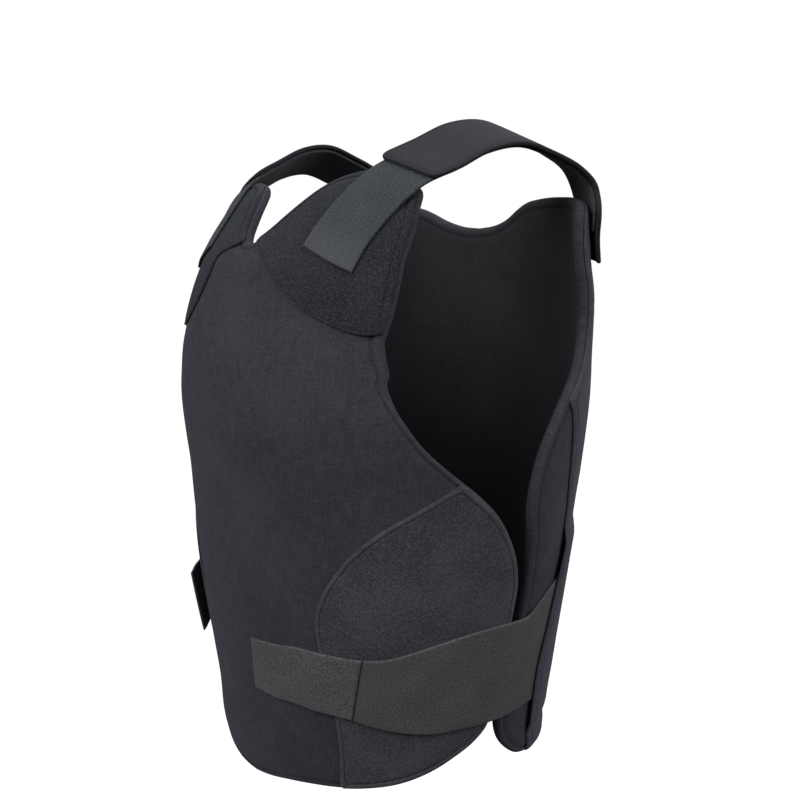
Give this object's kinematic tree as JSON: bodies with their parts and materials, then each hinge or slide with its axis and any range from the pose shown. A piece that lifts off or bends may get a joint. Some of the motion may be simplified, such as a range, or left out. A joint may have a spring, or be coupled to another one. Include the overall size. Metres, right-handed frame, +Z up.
{
  "type": "concealable body armour vest",
  "caption": "Soft concealable armour vest in its worn form: padded front and back panels joined by elastic shoulder straps and wide elastic side straps with hook tabs.",
  "frame": {"origin": "midway between the two shoulder straps, level with the top of the wearer's shoulders and inside the neck opening", "axes": "+Z up along the wearer's spine; -Y the way the wearer faces; +X to the wearer's left"},
  "size_m": [0.306, 0.2626, 0.4471],
  "materials": {
    "carrier_cloth": "matt woven cloth, near black",
    "loop_cloth": "brushed loop fabric, black",
    "ribbed_elastic": "cross-ribbed elastic webbing, bluish dark grey",
    "side_elastic": "smooth woven elastic, dark grey",
    "pad_cloth": "smooth matt cloth, dark grey",
    "hook_tab": "grainy hook fabric, dark grey",
    "cover_cloth": "matt woven cloth, near black"
  },
  "bodies": {
    "root": {"front_panel": "carrier_cloth", "back_panel": "carrier_cloth", "shoulder_patch_left": "loop_cloth", "shoulder_patch_right": "loop_cloth", "side_patch_left": "loop_cloth", "side_patch_right": "loop_cloth", "shoulder_strap_left": "ribbed_elastic", "shoulder_strap_right": "ribbed_elastic", "shoulder_pad_left": "pad_cloth", "shoulder_pad_right": "pad_cloth", "side_strap_left": "side_elastic", "side_strap_right": "side_elastic", "side_tab_left": "hook_tab", "side_tab_right": "hook_tab", "back_cover": "cover_cloth"}
  },
  "joints": []
}
